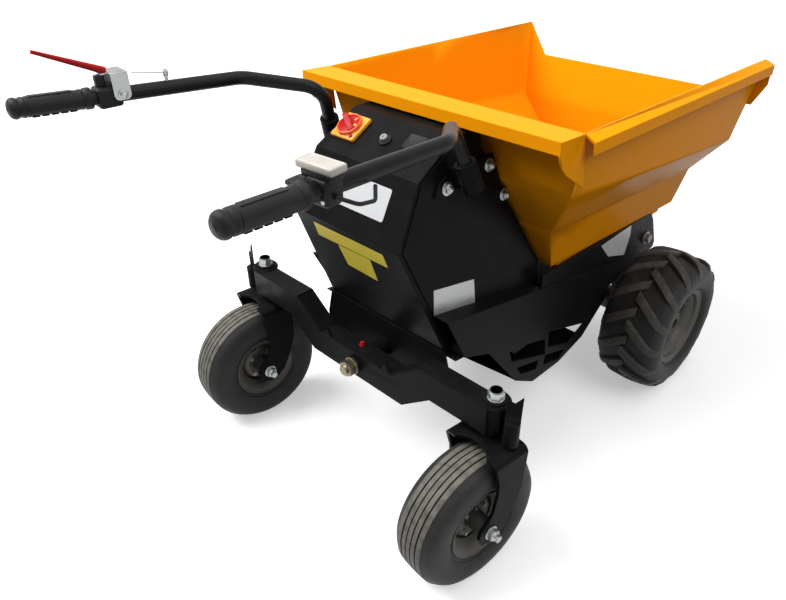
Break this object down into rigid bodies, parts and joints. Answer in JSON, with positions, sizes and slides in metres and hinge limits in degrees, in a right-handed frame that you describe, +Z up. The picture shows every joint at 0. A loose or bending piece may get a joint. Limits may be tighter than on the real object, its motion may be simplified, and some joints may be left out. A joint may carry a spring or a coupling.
{
  "type": "electric mini dumper",
  "caption": "Walk-behind electric mini dumper: a forward-tipping open tub on lugged drive wheels, with swivel casters on a rocking rear beam and two handles.",
  "frame": {"origin": "centre of the box on the ground", "axes": "+X operator's right, +Y forward towards the tub's front, +Z up"},
  "size_m": [0.9391, 1.594, 1.0709],
  "materials": {
    "black_paint": "satin",
    "orange_paint": "gloss",
    "tyre": "matte",
    "rim_paint": "satin",
    "zinc": "brushed",
    "cast_iron": "matte",
    "black_plastic": "matte",
    "grip_rubber": "matte",
    "grey_plastic": "matte",
    "red_coat": "gloss",
    "yellow_plastic": "gloss"
  },
  "bodies": {
    "chassis": {"rear_plate": "black_paint", "frame_rail_left": "black_paint", "frame_rail_right": "black_paint", "skirt_left": "black_paint", "skirt_right": "black_paint", "pan_floor": "black_paint", "body_shell": "black_paint", "side_cover_left": "black_paint", "side_cover_right": "black_paint", "battery": "black_plastic", "drive_axle": "cast_iron", "drive_motor": "cast_iron", "tip_pin": "zinc", "beam_pivot": "zinc", "handle_left": "black_paint", "handle_right": "black_paint", "grip_left": "grip_rubber", "grip_right": "grip_rubber", "handle_bracket_left": "black_paint", "handle_bracket_right": "black_paint", "throttle_box": "grey_plastic", "throttle_cable": "black_plastic", "lever_perch": "zinc", "brake_lever": "red_coat", "isolator_switch": "yellow_plastic", "key_switch": "zinc", "display_unit": "black_plastic"},
    "axle_beam": {"beam": "black_paint", "swivel_lock_left": "black_paint", "swivel_lock_right": "black_paint"},
    "tub": {"hopper": "orange_paint", "tub_arm_left": "orange_paint", "tub_arm_right": "orange_paint"},
    "fork_left": {"caster_fork_left": "black_paint", "caster_axle_left": "zinc", "stem_nut_left": "zinc"},
    "caster_wheel_left": {"caster_tyre_left": "tyre", "caster_rim_left": "rim_paint"},
    "drive_wheel_left": {"drive_tyre_left": "tyre", "drive_rim_left": "rim_paint"},
    "fork_right": {"caster_fork_right": "black_paint", "caster_axle_right": "zinc", "stem_nut_right": "zinc"},
    "caster_wheel_right": {"caster_tyre_right": "tyre", "caster_rim_right": "rim_paint"},
    "drive_wheel_right": {"drive_tyre_right": "tyre", "drive_rim_right": "rim_paint"}
  },
  "joints": [
    {"name": "beam_swing", "type": "hinge", "parent": "chassis", "child": "axle_beam", "pos_m": [0, -0.2885, 0.3385], "axis": [0, 1, 0], "range_deg": [-8, 8]},
    {"name": "tub_tip", "type": "hinge", "parent": "chassis", "child": "tub", "pos_m": [0, 0.6315, 0.387], "axis": [-1, 0, 0], "range_deg": [0, 75]},
    {"name": "swivel_left", "type": "hinge", "parent": "axle_beam", "child": "fork_left", "pos_m": [-0.379, -0.2885, 0.4], "axis": [0, 0, 1], "continuous": true},
    {"name": "caster_spin_left", "type": "hinge", "parent": "fork_left", "child": "caster_wheel_left", "pos_m": [-0.38569, -0.35215, 0.163], "axis": [0.9945, -0.1045, 0], "continuous": true},
    {"name": "drive_spin_left", "type": "hinge", "parent": "chassis", "child": "drive_wheel_left", "pos_m": [-0.333, 0.5495, 0.202], "axis": [1, 0, 0], "continuous": true},
    {"name": "swivel_right", "type": "hinge", "parent": "axle_beam", "child": "fork_right", "pos_m": [0.379, -0.2885, 0.4], "axis": [0, 0, 1], "continuous": true},
    {"name": "caster_spin_right", "type": "hinge", "parent": "fork_right", "child": "caster_wheel_right", "pos_m": [0.37231, -0.35215, 0.163], "axis": [0.9945, -0.1045, 0], "continuous": true},
    {"name": "drive_spin_right", "type": "hinge", "parent": "chassis", "child": "drive_wheel_right", "pos_m": [0.333, 0.5495, 0.202], "axis": [1, 0, 0], "continuous": true}
  ]
}
